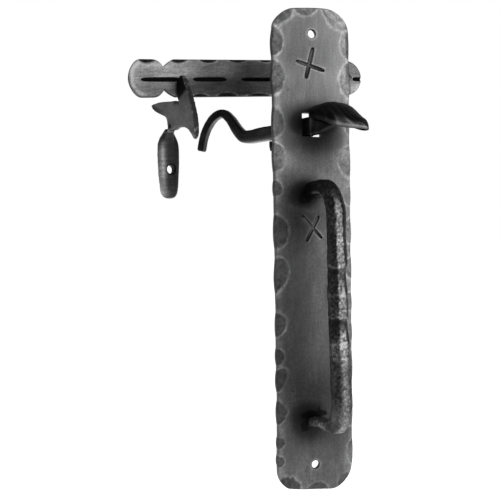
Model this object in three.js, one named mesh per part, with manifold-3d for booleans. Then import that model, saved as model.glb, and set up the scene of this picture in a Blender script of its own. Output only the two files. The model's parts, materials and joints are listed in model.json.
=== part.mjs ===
// Hand-forged thumb latch for a stair gate: a long backplate with a bow handle, a thumb
// lever that rocks in the backplate's slot, a latch bar on a pivot screw, and its keeper.
// Millimetres, +Z up. The origin is the middle of the backplate's back face, X runs along
// the latch bar, and -Y faces the person who pulls the handle.
import * as THREE from 'three';
import { mergeVertices } from 'three/addons/utils/BufferGeometryUtils.js';
import Module from 'manifold-3d';

const wasm = await Module();
wasm.setup();

// Driving dimensions
const GAP = 0.3;

const PLATE = { width: 50, height: 300, thickness: 4 };
const CORNERS = {
  topLeft: [14, 12], topRight: [16, 13], bottomLeft: [9, 13], bottomRight: [13, 12],
};
const SCREW_HOLE = { diameter: 6, z: 134.3 };
const SLOT = { width: 13, height: 15, x: -0.5, z: 78.2 };

const GRIP = { across: 11, reach: 34, topZ: 37.8, footZ: -107 };
const LOWER_FOOT = { width: 9, thickness: 3.4 };
const TENON = { diameter: 6, headDiameter: 9 };

// The lever's top slopes down towards the tail. Its underside steps down from the web under the
// pad to a seat on the slot's lower edge, and again to a heel behind the backplate.
const LEVER = { yaw: 40, width: 5, top: 5.4, droop: 5.2, web: 5.8, seat: 7.2, heel: 8.1 };
const HEEL = { from: 5.2, slope: 1.8 };
const TAIL = { from: 38, depth: 9, thickness: 5 };
const PAD = { length: 41, width: 27, rise: 12.6, slope: 17, start: 2.6, underside: 5.2, turn: 10 };
// How fast the pad widens and rises: from the slot to its crest, and from there to its tip
const PAD_CURVE = {
  crest: 0.47, skew: 0.918, slot: { wide: 0.36, high: 0.3 }, tip: { wide: 0.82, high: 0.6 },
};
const PEG = { diameter: 4.4, length: 6.3, back: 27.6, taper: 0.6 };

const BAR = { thickness: 4.5, height: 24.2, reach: 150.3, end: 14, frontY: 43.5, slope: 3.24 };
const PIVOT = { x: 43.5, z: 120.1, diameter: 8, tail: 22, point: 7 };
const HEAD = { side: 9, base: 1.5, rise: 3 };
const SPACER = { diameter: 17, thickness: 4 };

const KEEPER = { x: -75.7, y: 46.6, yaw: 18, thickness: 4 };
const LEAF = { x: 1.9, width: 15.4, top: 81.5, bottom: 35.4, thickness: 4.5, front: 11 };
const LEAF_HOLE = { diameter: 5.6, x: 1.9, z: 55 };

const LEVER_AXIS_Y = -PLATE.thickness / 2;
const BAR_MIDDLE_Y = BAR.frontY + BAR.thickness / 2;
const radians = THREE.MathUtils.degToRad;

// Solids

function welded(geometry) {
  const bare = geometry.index ? geometry.toNonIndexed() : geometry.clone();
  bare.deleteAttribute('normal');
  bare.deleteAttribute('uv');
  return mergeVertices(bare, 1e-4);
}

function solid(geometry) {
  const closed = welded(geometry);
  const vertProperties = new Float32Array(closed.attributes.position.array);
  const triVerts = new Uint32Array(closed.index.array);
  return new wasm.Manifold(new wasm.Mesh({ numProp: 3, vertProperties, triVerts }));
}

function geometryOf(manifold) {
  const { vertProperties, triVerts } = manifold.getMesh();
  const geometry = new THREE.BufferGeometry();
  geometry.setAttribute('position', new THREE.BufferAttribute(vertProperties, 3));
  geometry.setIndex(new THREE.BufferAttribute(triVerts, 1));
  return geometry;
}

function cut(body, ...tools) {
  return geometryOf(tools.reduce((left, tool) => left.subtract(solid(tool)), solid(body)));
}

function join(...pieces) {
  return geometryOf(pieces.map(solid).reduce((left, right) => left.add(right)));
}

// A round bar along +Y from y0 to y1, wider or narrower at its far end.
function rod(x, z, diameter, y0, y1, endDiameter = diameter, sides = 24) {
  const rodGeometry = new THREE.CylinderGeometry(endDiameter / 2, diameter / 2, y1 - y0, sides);
  return rodGeometry.translate(x, (y0 + y1) / 2, z);
}

// An outline drawn in X and Z, as thick as `depth`, from y = front backwards.
function slab(outline, front, depth, curveSegments = 12) {
  const flat = new THREE.ExtrudeGeometry(outline, { depth, bevelEnabled: false, curveSegments });
  return flat.rotateX(Math.PI / 2).translate(0, front + depth, 0);
}

// An outline drawn in Y and Z, centred on x = 0.
function uprightSlab(outline, depth, curveSegments = 12) {
  const flat = new THREE.ExtrudeGeometry(outline, { depth, bevelEnabled: false, curveSegments });
  const axes = new THREE.Matrix4().makeBasis(
    new THREE.Vector3(0, 1, 0), new THREE.Vector3(0, 0, 1), new THREE.Vector3(1, 0, 0));
  return flat.translate(0, 0, -depth / 2).applyMatrix4(axes);
}

// A bar bent along a path in the YZ plane. section(t) gives its half width along X, its half
// thickness in the plane of the bend, and its twist in radians; `sides` is 8 for an octagon.
function bentBar(path, section, sides, steps) {
  const bar = welded(new THREE.CylinderGeometry(1, 1, 1, sides, steps, false, Math.PI / sides));
  const place = bar.attributes.position;
  const flats = 1 / Math.cos(Math.PI / sides);
  for (let i = 0; i < place.count; i += 1) {
    const t = THREE.MathUtils.clamp(0.5 - place.getY(i), 0, 1);
    const middle = path.getPointAt(t);
    const along = path.getTangentAt(t);
    const { halfWidth, halfThickness, twist = 0 } = section(t);
    const across = new THREE.Vector3(1, 0, 0);
    const outward = new THREE.Vector3().crossVectors(along, across);
    const offset = across.multiplyScalar(place.getX(i) * flats * halfWidth)
      .addScaledVector(outward, place.getZ(i) * flats * halfThickness);
    offset.applyAxisAngle(along, twist);
    place.setXYZ(i, middle.x + offset.x, middle.y + offset.y, middle.z + offset.z);
  }
  return bar;
}

function pathInYZ(points) {
  const curve = new THREE.CatmullRomCurve3(points.map(([y, z]) => new THREE.Vector3(0, y, z)));
  curve.curveType = 'centripetal';
  return curve;
}

// Sub-parts fixed to the gate

function backplate() {
  const outline = new THREE.Shape();
  const corners = [
    [1, 1, CORNERS.topRight], [-1, 1, CORNERS.topLeft],
    [-1, -1, CORNERS.bottomLeft], [1, -1, CORNERS.bottomRight],
  ];
  corners.forEach(([side, end, [across, along]], quarter) => {
    const x = side * (PLATE.width / 2 - across);
    const z = end * (PLATE.height / 2 - along);
    const turn = quarter * Math.PI / 2;
    outline.absellipse(x, z, across, along, turn, turn + Math.PI / 2);
  });
  const blank = slab(outline, -PLATE.thickness, PLATE.thickness);

  const outside = -PLATE.thickness - 1;
  const screwHoles = [-1, 1].map(
    (end) => rod(0, end * SCREW_HOLE.z, SCREW_HOLE.diameter, outside, 1));
  const slot = new THREE.BoxGeometry(SLOT.width, PLATE.thickness * 3, SLOT.height);
  slot.translate(SLOT.x, 0, SLOT.z);
  const tenonHoles = [GRIP.topZ, GRIP.footZ].flatMap((z) => [
    rod(0, z, TENON.diameter + 2 * GAP, outside, 1),
    rod(0, z, TENON.diameter + 2 * GAP, -PLATE.thickness / 2, 0.5, TENON.headDiameter + 4 * GAP),
  ]);
  return cut(blank, ...screwHoles, slot, ...tenonHoles);
}

// The bow handle: an octagonal grip, an upper foot of the same section and a lower foot drawn
// out thin, each with a tenon that is hammered over in the backplate's countersink.
function pullHandle() {
  const face = -PLATE.thickness - GAP;
  const gripY = -PLATE.thickness - GRIP.reach;
  const upper = GRIP.topZ;
  const lower = GRIP.footZ;
  const path = pathInYZ([
    [face, upper], [-14, upper + 0.2], [-24, upper - 0.3], [-33.2, upper - 4.3], [gripY + 0.2, upper - 13],
    [gripY, upper - 28], [gripY, -30], [gripY - 0.5, lower + 32], [gripY - 0.3, lower + 15],
    [-34.2, lower + 5.6], [-25, lower + 1.8], [-12, lower + 0.8], [face, lower],
  ]);
  const drawnFrom = 0.83;
  const drawnTo = 0.93;
  const bow = bentBar(path, (t) => {
    const drawn = THREE.MathUtils.smoothstep(t, drawnFrom, drawnTo);
    return {
      halfWidth: THREE.MathUtils.lerp(GRIP.across, LOWER_FOOT.width, drawn) / 2,
      halfThickness: THREE.MathUtils.lerp(GRIP.across, LOWER_FOOT.thickness, drawn) / 2,
    };
  }, 8, 56);
  const tenons = [upper, lower].flatMap((z) => [
    rod(0, z, TENON.diameter, face - 1.5, -GAP),
    rod(0, z, TENON.diameter, -PLATE.thickness / 2 + GAP, -GAP, TENON.headDiameter),
  ]);
  return join(bow, ...tenons);
}

// Where the latch bar turns: a square-headed screw with a low pyramid on its head.
function pivotScrew() {
  const front = BAR.frontY - GAP;
  const shankEnd = BAR.frontY + BAR.thickness + SPACER.thickness + PIVOT.tail;
  const halfDiagonal = HEAD.side / Math.SQRT2;
  const collar = new THREE.CylinderGeometry(halfDiagonal, halfDiagonal, HEAD.base, 4);
  collar.translate(PIVOT.x, front - HEAD.base / 2, PIVOT.z);
  const pyramid = new THREE.CylinderGeometry(halfDiagonal, 0.6, HEAD.rise, 4);
  pyramid.translate(PIVOT.x, front - HEAD.base - HEAD.rise / 2, PIVOT.z);
  const shank = rod(PIVOT.x, PIVOT.z, PIVOT.diameter, front - 0.5, shankEnd);
  const point = rod(PIVOT.x, PIVOT.z, PIVOT.diameter, shankEnd, shankEnd + PIVOT.point, 0.8);
  return join(collar, pyramid, shank, point);
}

function pivotSpacer() {
  const front = BAR.frontY + BAR.thickness + GAP;
  const ring = rod(PIVOT.x, PIVOT.z, SPACER.diameter, front, front + SPACER.thickness, SPACER.diameter, 32);
  const bore = rod(PIVOT.x, PIVOT.z, PIVOT.diameter + 2 * GAP, front - 1, front + SPACER.thickness + 1);
  return cut(ring, bore);
}

// The keeper's blade stands square to the post: a spike behind, a horn in front, and between
// them the notch that the latch bar drops into.
function keeperBlade() {
  const blade = new THREE.Shape();
  blade.moveTo(30.5, 100.4);
  blade.quadraticCurveTo(28, 101.4, 17, 100.6);
  blade.lineTo(-2.7, 98.4);
  blade.lineTo(-4.5, 97.6);
  blade.lineTo(-8.2, 95);
  blade.quadraticCurveTo(-3, 104, -5.4, 111.2);
  blade.quadraticCurveTo(-8, 116, -11.8, 112);
  blade.quadraticCurveTo(-25.5, 91, -26, 79);
  blade.quadraticCurveTo(-26.5, 71, -24.5, 71);
  blade.quadraticCurveTo(-23, 71.5, -22.5, 74);
  blade.quadraticCurveTo(-17, 81, -3, 81);
  blade.lineTo(0.7, 80);
  blade.lineTo(8.5, 80);
  blade.quadraticCurveTo(8.2, 87, 10.5, 89.5);
  blade.lineTo(22, 94);
  blade.quadraticCurveTo(30.5, 97.5, 30.5, 100.4);
  return uprightSlab(blade, KEEPER.thickness, 6);
}

// The leaf lies flat on the post and takes one screw.
function keeperLeaf() {
  const half = LEAF.width / 2;
  const leaf = new THREE.Shape();
  const widest = 64;
  leaf.moveTo(LEAF.x - 2.4, LEAF.top);
  leaf.quadraticCurveTo(LEAF.x - half, 75, LEAF.x - half, widest);
  leaf.bezierCurveTo(LEAF.x - half, 46, LEAF.x - 5, LEAF.bottom, LEAF.x, LEAF.bottom);
  leaf.bezierCurveTo(LEAF.x + 5, LEAF.bottom, LEAF.x + half, 46, LEAF.x + half, widest);
  leaf.quadraticCurveTo(LEAF.x + half, 75, LEAF.x + 2, LEAF.top);
  leaf.closePath();
  const back = LEAF.front + LEAF.thickness;
  const hole = rod(LEAF_HOLE.x, LEAF_HOLE.z, LEAF_HOLE.diameter, LEAF.front - 1, back + 1);
  return cut(slab(leaf, LEAF.front, LEAF.thickness), hole);
}

function keeper() {
  const neckPath = pathInYZ([[4.6, 86], [4.8, 82], [8, 78.5], [LEAF.front + 2, 74]]);
  const neck = bentBar(neckPath, (t) => ({
    halfWidth: THREE.MathUtils.lerp(KEEPER.thickness / 2 - 0.1, 1.9, t),
    halfThickness: THREE.MathUtils.lerp(3.7, 3.3, t),
    twist: t * Math.PI / 2,
  }), 4, 10);
  return join(keeperBlade(), neck, keeperLeaf());
}

// Sub-parts of the thumb lever. Y runs along the lever, towards the tail, from the slot.

const shankTop = (y) => LEVER.top - Math.tan(radians(LEVER.droop)) * y;
const heelUnderside = (y) => -LEVER.heel + Math.tan(radians(HEEL.slope)) * (y - HEEL.from);
const padUnderside = (y) => PAD.underside + Math.tan(radians(PAD.slope)) * y;

function leverShank() {
  const tip = -18;
  const tipThickness = 0.8;
  const shoulder = 1 - PAD.start;
  const webEnd = -2.6;
  const seatStart = -0.6;
  const seatEnd = HEEL.from - 0.6;
  const blade = new THREE.Shape();
  blade.moveTo(tip, padUnderside(tip) - GAP - tipThickness);
  blade.lineTo(-7, -LEVER.web);
  blade.lineTo(webEnd, -LEVER.web);
  blade.lineTo(seatStart, -LEVER.seat);
  blade.lineTo(seatEnd, -LEVER.seat);
  blade.lineTo(HEEL.from, -LEVER.heel);
  blade.lineTo(TAIL.from, heelUnderside(TAIL.from));
  blade.lineTo(TAIL.from, shankTop(TAIL.from));
  blade.lineTo(shoulder, LEVER.top);
  blade.lineTo(shoulder, padUnderside(shoulder) - GAP);
  blade.lineTo(tip, padUnderside(tip) - GAP);
  const tailPath = pathInYZ([
    [36, -2.7], [43, -3.4], [50, -2.6], [55.2, 3], [60.2, 9.9], [65.4, 14], [70.6, 13.3],
    [75.3, 10.2], [79.3, 5.1], [82.2, -1.4], [84.4, -10.2],
  ]);
  const tail = bentBar(tailPath, (t) => {
    const drawn = THREE.MathUtils.smoothstep(t, 0.08, 0.5);
    return {
      halfWidth: LEVER.width / 2 - 0.05,
      halfThickness: THREE.MathUtils.lerp(TAIL.depth, TAIL.thickness, drawn) / 2,
    };
  }, 4, 36);
  return join(uprightSlab(blade, LEVER.width), tail);
}

// A leaf-shaped dome that droops towards its tip, with a flat underside. It is turned a little
// towards the backplate's square, and its far side is cut back to clear the backplate.
function thumbPad() {
  const dome = welded(new THREE.SphereGeometry(1, 32, 24));
  const place = dome.attributes.position;
  const facing = radians(LEVER.yaw - PAD.turn);
  const least = 0.02;
  for (let i = 0; i < place.count; i += 1) {
    const t = Math.acos(THREE.MathUtils.clamp(place.getY(i), -1, 1)) / Math.PI;
    const reach = PAD.start + PAD.length * t;
    const ring = Math.hypot(place.getX(i), place.getZ(i)) || 1;
    const across = place.getX(i) / ring;
    const up = Math.max(place.getZ(i) / ring, 0);
    const swell = Math.max(Math.sin(Math.PI * t ** PAD_CURVE.skew), 0);
    const curve = t < PAD_CURVE.crest ? PAD_CURVE.slot : PAD_CURVE.tip;
    const halfWidth = PAD.width / 2 * swell ** curve.wide + least;
    const rise = PAD.rise * swell ** curve.high + least;
    const clear = (Math.cos(facing) * reach + LEVER_AXIS_Y - GAP) / Math.sin(facing);
    const side = Math.min(across * halfWidth, Math.max(clear, across * least));
    place.setXYZ(i, side, -reach, padUnderside(-reach) + up * rise);
  }
  return dome.rotateZ(-radians(PAD.turn));
}

function stopPeg() {
  const top = heelUnderside(PEG.back) - GAP;
  const foot = PEG.diameter / 2 - PEG.taper;
  const peg = new THREE.CylinderGeometry(PEG.diameter / 2, foot, PEG.length, 16);
  peg.rotateX(Math.PI / 2);
  return peg.translate(0, PEG.back, top - PEG.length / 2);
}

// The latch bar. X runs along it from the pivot, so its lobed end is at negative X.

function latchBar() {
  const half = BAR.height / 2;
  const corner = BAR.end - half;
  const lobe = { flatEnd: -142.4, flatStart: -135.2, waist: -127.6, shoulder: -120.6, depth: 7.3 };
  const outline = new THREE.Shape();
  outline.moveTo(corner, -half);
  outline.absarc(corner, 0, half, -Math.PI / 2, Math.PI / 2);
  outline.lineTo(lobe.shoulder, half);
  outline.quadraticCurveTo(lobe.waist + 1.5, half, lobe.waist, lobe.depth);
  outline.quadraticCurveTo(lobe.waist - 2, half, lobe.flatStart, half);
  outline.lineTo(lobe.flatEnd, half);
  outline.bezierCurveTo(-146, half, -BAR.reach, half / 2, -BAR.reach, 0);
  outline.bezierCurveTo(-BAR.reach, -half / 2, -146, -half, lobe.flatEnd, -half);
  outline.lineTo(lobe.flatStart, -half);
  outline.quadraticCurveTo(lobe.waist - 2, -half, lobe.waist, -lobe.depth);
  outline.quadraticCurveTo(lobe.waist + 1.5, -half, lobe.shoulder, -half);
  outline.closePath();
  const bore = rod(0, 0, PIVOT.diameter + 2 * GAP, -BAR.thickness, BAR.thickness);
  return cut(slab(outline, -BAR.thickness / 2, BAR.thickness), bore);
}

// The assembly

const forged = (color) => new THREE.MeshStandardMaterial({ color, roughness: 0.5, metalness: 0.85 });

function piece(name, geometry, color) {
  const flat = geometry.index ? geometry.toNonIndexed() : geometry;
  flat.computeVertexNormals();
  const mesh = new THREE.Mesh(flat, forged(color));
  mesh.name = name;
  return mesh;
}

const latch = new THREE.Group();
latch.add(
  piece('backplate', backplate(), 0x55555a),
  piece('pull_handle', pullHandle(), 0x2b2b2e),
  piece('pivot_screw', pivotScrew(), 0x333338),
  piece('pivot_spacer', pivotSpacer(), 0x3a3a3e),
);

const keeperPlace = new THREE.Group();
keeperPlace.position.set(KEEPER.x, KEEPER.y, 0);
keeperPlace.rotation.z = radians(KEEPER.yaw);
keeperPlace.add(piece('keeper', keeper(), 0x4a4a4e));

const leverPlace = new THREE.Group();
leverPlace.position.set(SLOT.x, LEVER_AXIS_Y, SLOT.z);
leverPlace.rotation.z = radians(LEVER.yaw);
leverPlace.add(
  piece('lever_shank', leverShank(), 0x2a2a2d),
  piece('thumb_pad', thumbPad(), 0x1f1f22),
  piece('stop_peg', stopPeg(), 0x1c1c1e),
);

const barPlace = new THREE.Group();
barPlace.position.set(PIVOT.x, BAR_MIDDLE_Y, PIVOT.z);
barPlace.rotation.y = -radians(BAR.slope);
barPlace.add(piece('latch_bar', latchBar(), 0x5a5a5f));

latch.add(keeperPlace, leverPlace, barPlace);

export default latch;
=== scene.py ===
"""Looks for a hand-forged thumb latch: a hammered backplate with a bow handle, a thumb lever,
a latch bar with chisel marks and its keeper, all in black iron that is burnished on the edges.

Shapes are worked out in millimetres in the CAD part's frame and become metres in mesh_object.
"""
import json
import math

import bmesh
import bpy
import numpy as np
from mathutils import Matrix, Vector


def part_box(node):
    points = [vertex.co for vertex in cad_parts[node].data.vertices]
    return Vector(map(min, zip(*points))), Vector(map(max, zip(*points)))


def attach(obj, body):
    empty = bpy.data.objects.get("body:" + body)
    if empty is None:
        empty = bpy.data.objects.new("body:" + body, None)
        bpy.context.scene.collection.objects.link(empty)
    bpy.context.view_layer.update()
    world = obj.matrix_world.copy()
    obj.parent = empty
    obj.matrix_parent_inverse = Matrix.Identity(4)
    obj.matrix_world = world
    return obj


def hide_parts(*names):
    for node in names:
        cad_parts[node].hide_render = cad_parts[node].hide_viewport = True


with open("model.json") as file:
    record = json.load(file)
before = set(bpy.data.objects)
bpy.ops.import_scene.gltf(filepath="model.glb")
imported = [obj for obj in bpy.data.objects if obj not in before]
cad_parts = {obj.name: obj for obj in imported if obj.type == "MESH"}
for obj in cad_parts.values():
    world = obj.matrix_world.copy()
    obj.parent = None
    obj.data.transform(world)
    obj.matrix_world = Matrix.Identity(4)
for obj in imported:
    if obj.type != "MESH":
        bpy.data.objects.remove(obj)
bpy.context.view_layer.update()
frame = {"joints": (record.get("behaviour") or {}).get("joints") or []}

MM = 0.001


# ---- places taken from the frame

def box_mm(node):
    low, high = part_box(node)
    return np.array(low) / MM, np.array(high) / MM


(_, FRONT, _), (HALF_WIDTH, _, HALF_LENGTH) = box_mm("backplate")
JOINTS = {joint["name"]: np.array(joint["pos_m"]) / MM for joint in frame["joints"]}
PIVOT = JOINTS["bar_lift"]
# Read from the photo, as the frame doesn't give them
SLOT_LOW, SLOT_HIGH = (-7, 70.9), (6, 85.7)
LEVER_ORIGIN = np.array([-0.5, -2, 78.2])
LEVER_YAW = math.radians(40)
BAR_SLOPE = math.radians(3.24)
KEEPER_YAW = math.radians(18)
KEEPER_ORIGIN = np.array([-75.7, 46.6, 0])


# ---- small helpers

def unit(value):
    """The value, kept between 0 and 1."""
    return np.clip(value, 0, 1)


def ease(value, start, end):
    """0 before the start, 1 after the end, and a soft step between them."""
    t = unit((value - start) / (end - start))
    return t * t * (3 - 2 * t)


def bump(offset, width):
    """1 where the offset is 0, and 0 a few widths away."""
    return np.exp(-(offset / width) ** 2)


def quarter_round(distance, radius):
    """How far a rounded edge falls back, as a share of the radius, this far from the edge."""
    return 1 - np.sqrt(unit(1 - unit(1 - distance / radius) ** 2))


def xyz(x, y, z):
    return np.stack(np.broadcast_arrays(x, y, z), axis=-1).astype(float)


def circle(count):
    return np.linspace(0, 2 * math.pi, count, endpoint=False)


def lattice(cell, seed):
    mixed = cell[..., 0] * 73856093 ^ cell[..., 1] * 19349663 ^ cell[..., 2] * 83492791 ^ seed * 97531
    mixed = (mixed ^ (mixed >> 13)) * 1274126177 & 0xFFFFFFFF
    mixed = mixed ^ (mixed >> 16)
    return (mixed & 0xFFFF) / 32767.5 - 1


def lumps(points, size, seed=1):
    """A smooth random value between -1 and 1 at each point, with lumps about `size` mm across."""
    places = np.asarray(points, float) / np.asarray(size, float)
    cell = np.floor(places).astype(np.int64)
    part = places - cell
    part = part * part * (3 - 2 * part)
    total = 0
    for corner in np.ndindex(2, 2, 2):
        weight = np.prod(np.where(corner, part, 1 - part), axis=-1)
        total += weight * lattice(cell + np.array(corner), seed)
    return total


def mesh_object(name, points, faces, angle=38):
    mesh = bpy.data.meshes.new(name)
    mesh.from_pydata((np.asarray(points) * MM).tolist(), [], faces)
    mesh.validate()
    mesh.update()
    made = add_object(name, mesh)
    soften(made, angle)
    return made


def add_object(name, data):
    made = bpy.data.objects.new(name, data)
    bpy.context.scene.collection.objects.link(made)
    return made


def soften(made, angle):
    mesh = made.data
    mesh.polygons.foreach_set("use_smooth", [True] * len(mesh.polygons))
    mesh.set_sharp_from_angle(angle=math.radians(angle))
    mesh.update()


def loft(name, rings, angle=38, close_ends=True):
    """A closed solid through rings that all have the same number of points."""
    rings = np.asarray(rings, float)
    count, around = rings.shape[:2]
    index = np.arange(count * around).reshape(count, around)
    here = index[:-1]
    there = index[1:]
    faces = np.stack([here, np.roll(here, -1, 1), np.roll(there, -1, 1), there], axis=-1).reshape(-1, 4)
    faces = faces.tolist()
    if close_ends:
        faces.append(index[0][::-1].tolist())
        faces.append(index[-1].tolist())
    made = mesh_object(name, rings.reshape(-1, 3), faces, angle)
    face_outwards(made)
    return made


def face_outwards(made):
    shape = bmesh.new()
    shape.from_mesh(made.data)
    bmesh.ops.recalc_face_normals(shape, faces=shape.faces)
    shape.to_mesh(made.data)
    shape.free()


def read_mesh(made, what):
    flat = np.zeros(len(made.data.vertices) * 3)
    made.data.vertices.foreach_get(what, flat)
    return flat.reshape(-1, 3)


def points_of(made):
    """The mesh's points, in mm."""
    return read_mesh(made, "co") / MM


def set_points(made, points):
    made.data.vertices.foreach_set("co", (np.asarray(points) * MM).ravel())
    made.data.update()


def hammer(made, amount, size, seed):
    """Pushes the surface in and out along its normals, like the marks of a hammer."""
    points = points_of(made)
    push = amount * lumps(points, size, seed)
    set_points(made, points + read_mesh(made, "normal") * push[:, None])


def paint(made, tone):
    attribute = made.data.attributes.new("tone", "FLOAT", "POINT")
    attribute.data.foreach_set("value", np.asarray(tone, np.float32))


def apply_modifiers(made):
    bpy.context.view_layer.update()
    evaluated = made.evaluated_get(bpy.context.evaluated_depsgraph_get())
    final = bpy.data.meshes.new_from_object(evaluated)
    made.modifiers.clear()
    old = made.data
    made.data = final
    bpy.data.meshes.remove(old)


def cut(made, *tools, angle):
    for tool in tools:
        modifier = made.modifiers.new("cut", "BOOLEAN")
        modifier.operation = "DIFFERENCE"
        modifier.solver = "EXACT"
        modifier.object = tool
    apply_modifiers(made)
    for tool in tools:
        bpy.data.objects.remove(tool)
    soften(made, angle)


def join(target, *others):
    """Puts the other objects' meshes into the target's."""
    shape = bmesh.new()
    shape.from_mesh(target.data)
    for other in others:
        shape.from_mesh(other.data)
        bpy.data.objects.remove(other)
    shape.to_mesh(target.data)
    shape.free()
    return target


def turn(points, angle):
    """Turned about Z, anticlockwise from above."""
    x, y, z = np.moveaxis(np.array(points, float), -1, 0)
    return xyz(x * math.cos(angle) - y * math.sin(angle), x * math.sin(angle) + y * math.cos(angle), z)


def tilt(points, angle):
    """Turned about Y, with +X going up."""
    x, y, z = np.moveaxis(np.array(points, float), -1, 0)
    return xyz(x * math.cos(angle) - z * math.sin(angle), y, x * math.sin(angle) + z * math.cos(angle))


def in_lever(points):
    return turn(points, LEVER_YAW) + LEVER_ORIGIN


def in_keeper(points):
    return turn(points, KEEPER_YAW) + KEEPER_ORIGIN


def in_bar(points):
    return tilt(points, BAR_SLOPE) + PIVOT


def between(first, last, start, end, t):
    """From the first value at the start to the last value at the end."""
    return ((end - t) * first + (t - start) * last) / (end - start)


def lengths_along(points):
    steps = np.linalg.norm(np.diff(points, axis=0), axis=1)
    return np.concatenate([[0], np.cumsum(steps)])


def smooth_path(points, count):
    """Evenly spaced places on a centripetal Catmull-Rom curve through the points."""
    points = np.array(points, float)
    ends = [2 * points[0] - points[1], *points, 2 * points[-1] - points[-2]]
    dense = []
    for p0, p1, p2, p3 in zip(ends, ends[1:], ends[2:], ends[3:]):
        t1 = np.linalg.norm(p1 - p0) ** 0.5
        t2 = t1 + np.linalg.norm(p2 - p1) ** 0.5
        t3 = t2 + np.linalg.norm(p3 - p2) ** 0.5
        t = np.linspace(t1, t2, 24, endpoint=False)[:, None]
        inner = between(p1, p2, t1, t2, t)
        before = between(between(p0, p1, 0, t1, t), inner, 0, t2, t)
        after = between(inner, between(p2, p3, t2, t3, t), t1, t3, t)
        dense.append(between(before, after, t1, t2, t))
    dense = np.vstack([*dense, points[-1:]])
    lengths = lengths_along(dense)
    wanted = np.linspace(0, lengths[-1], count)
    return np.stack([np.interp(wanted, lengths, column) for column in dense.T], axis=1)


def facets(angles, sides, softness):
    """Radius of a polygon with softened corners. Each side is (the way it faces in degrees, distance)."""
    total = 0
    for facing, distance in sides:
        total += np.maximum(np.cos(angles - math.radians(facing)) / distance, 0) ** softness
    return total ** (-1 / softness)


def sweep(middle, radii, angles):
    """Rings square to a path in the YZ plane. radii[i] is a ring's radius at each angle. Angle 0
    points along X, and 90 degrees to the right of the way the path runs, seen from +X."""
    along = np.gradient(middle, axis=0)
    along /= np.linalg.norm(along, axis=1, keepdims=True)
    across = np.array([1, 0, 0])
    outward = np.cross(along, across)
    x = radii * np.cos(angles)
    y = radii * np.sin(angles)
    return middle[:, None, :] + x[..., None] * across + y[..., None] * outward[:, None, :]


def lathe(name, profile, centre, sides, wobble=0, seed=3, closed=False):
    """A profile of (y, radius) turned about an axis along Y through `centre`."""
    around = circle(sides)
    rings = []
    for y, radius in profile:
        ring = xyz(centre[0] + radius * np.cos(around), y, centre[2] + radius * np.sin(around))
        rings.append(ring + wobble * lumps(ring, 3, seed)[:, None] * np.array([0.6, 1, 0.6]))
    if closed:
        rings.append(rings[0])
    return loft(name, rings, close_ends=not closed)


# ---- camera, light and stage

def add_camera():
    """It stands to the left of the latch and looks along +Y, turned to the right by the yaw."""
    yaw, pitch, roll = math.radians(17.55), math.radians(-1.42), math.radians(-0.66)
    camera = add_object("camera", bpy.data.cameras.new("camera"))
    camera.data.lens = 50
    camera.data.sensor_width = 36
    place = Matrix.Translation((-0.1685, -0.405, 0.0117)) @ Matrix.Rotation(-yaw, 4, "Z")
    lean = Matrix.Rotation(math.pi / 2 + pitch, 4, "X") @ Matrix.Rotation(roll, 4, "Z")
    camera.matrix_world = place @ lean
    bpy.context.scene.camera = camera


def softbox(name, position, size, radiance):
    """A lamp that the camera doesn't see, turned towards the latch."""
    data = bpy.data.lights.new(name, "AREA")
    data.shape = "RECTANGLE"
    data.size, data.size_y = size
    data.energy = radiance * math.pi * size[0] * size[1]
    lamp = add_object(name, data)
    lamp.location = position
    lamp.rotation_euler = (-Vector(position)).to_track_quat("-Z", "Y").to_euler()
    lamp.visible_camera = False


def node_tree(owner):
    owner.use_nodes = True
    return owner.node_tree.nodes, owner.node_tree.links


# Strength of the surroundings, as they light the latch and as the camera sees them
ROOM_LIGHT, PAPER_WHITE = 0.42, 1


def add_light():
    softbox("front_softbox", (0.45, -1.15, 0.25), (0.95, 1.1), 1.9)
    softbox("top_softbox", (-0.25, -0.35, 1.1), (0.8, 0.6), 1.2)
    softbox("back_softbox", (0.5, 1.2, 0.5), (0.8, 0.8), 1)
    world = bpy.data.worlds.new("studio")
    bpy.context.scene.world = world
    nodes, links = node_tree(world)
    nodes.clear()
    seen = nodes.new("ShaderNodeLightPath")
    mix = nodes.new("ShaderNodeMixShader")
    out = nodes.new("ShaderNodeOutputWorld")
    links.new(seen.outputs["Is Camera Ray"], mix.inputs["Fac"])
    links.new(mix.outputs["Shader"], out.inputs["Surface"])
    for socket, strength in ((mix.inputs[1], ROOM_LIGHT), (mix.inputs[2], PAPER_WHITE)):
        backdrop = nodes.new("ShaderNodeBackground")
        backdrop.inputs["Color"].default_value = (1, 1, 1, 1)
        backdrop.inputs["Strength"].default_value = strength
        links.new(backdrop.outputs["Background"], socket)
    bpy.context.scene.view_settings.view_transform = "Standard"


# Half the floor's width, and its height, in mm
FLOOR_REACH, FLOOR_Z = 30000, -420


def add_floor():
    corners = [(x * FLOOR_REACH, y * FLOOR_REACH, FLOOR_Z) for x, y in ((-1, -1), (1, -1), (1, 1), (-1, 1))]
    floor = mesh_object("floor", corners, [(0, 1, 2, 3)])
    paper = bpy.data.materials.new("white_paper")
    shader = node_tree(paper)[0]["Principled BSDF"]
    for socket, value in (("Base Color", (0.9, 0.9, 0.9, 1)), ("Roughness", 0.9),
                          ("Emission Color", (1, 1, 1, 1)), ("Emission Strength", 0.75)):
        shader.inputs[socket].default_value = value
    floor.data.materials.append(paper)


# ---- black iron

# How much light the blackest scale and the brightest metal give back
BLACK, BRIGHT = 0.0035, 0.34


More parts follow.
